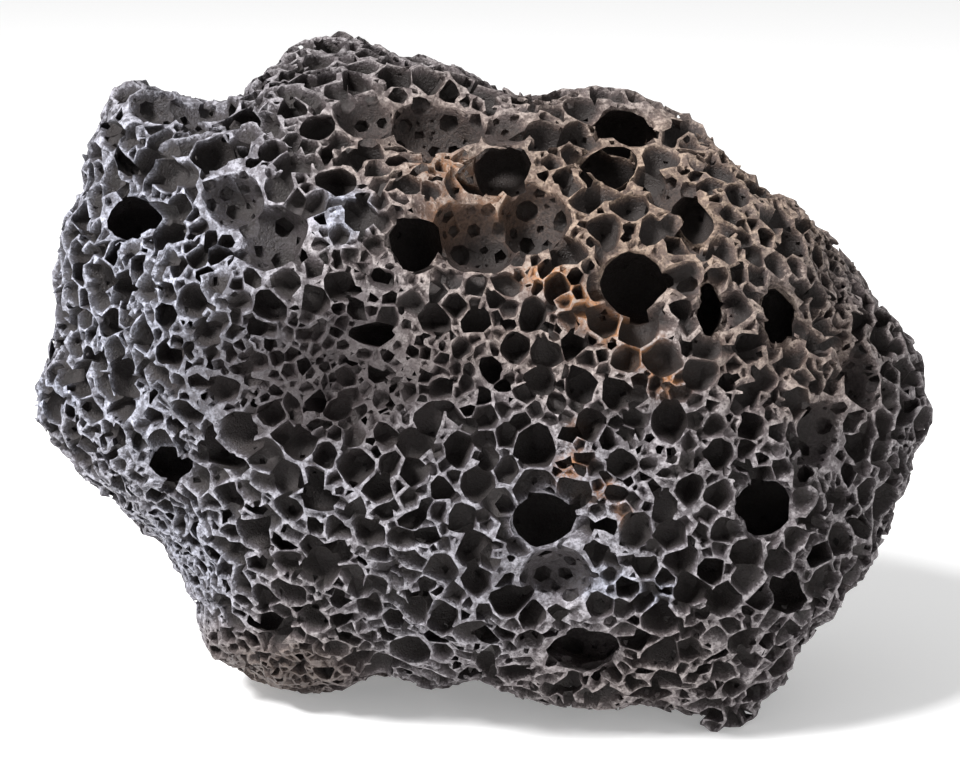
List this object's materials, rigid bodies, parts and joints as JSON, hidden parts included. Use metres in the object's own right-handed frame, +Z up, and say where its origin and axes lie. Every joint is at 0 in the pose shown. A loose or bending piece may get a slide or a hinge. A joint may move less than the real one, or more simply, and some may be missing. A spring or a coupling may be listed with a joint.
{
  "type": "lava rock",
  "caption": "Rough lump of dark, bubble-riddled volcanic scoria that stands on the high spots of its underside.",
  "frame": {"origin": "on the surface the rock stands on, below the middle of its bounding box", "axes": "+X along the longest side, towards the rock's right end; +Y away from the front face; +Z up"},
  "size_m": [0.1624, 0.0898, 0.1187],
  "materials": {
    "scoria": "matte"
  },
  "bodies": {
    "root": {"lava_rock": "scoria"}
  },
  "joints": []
}
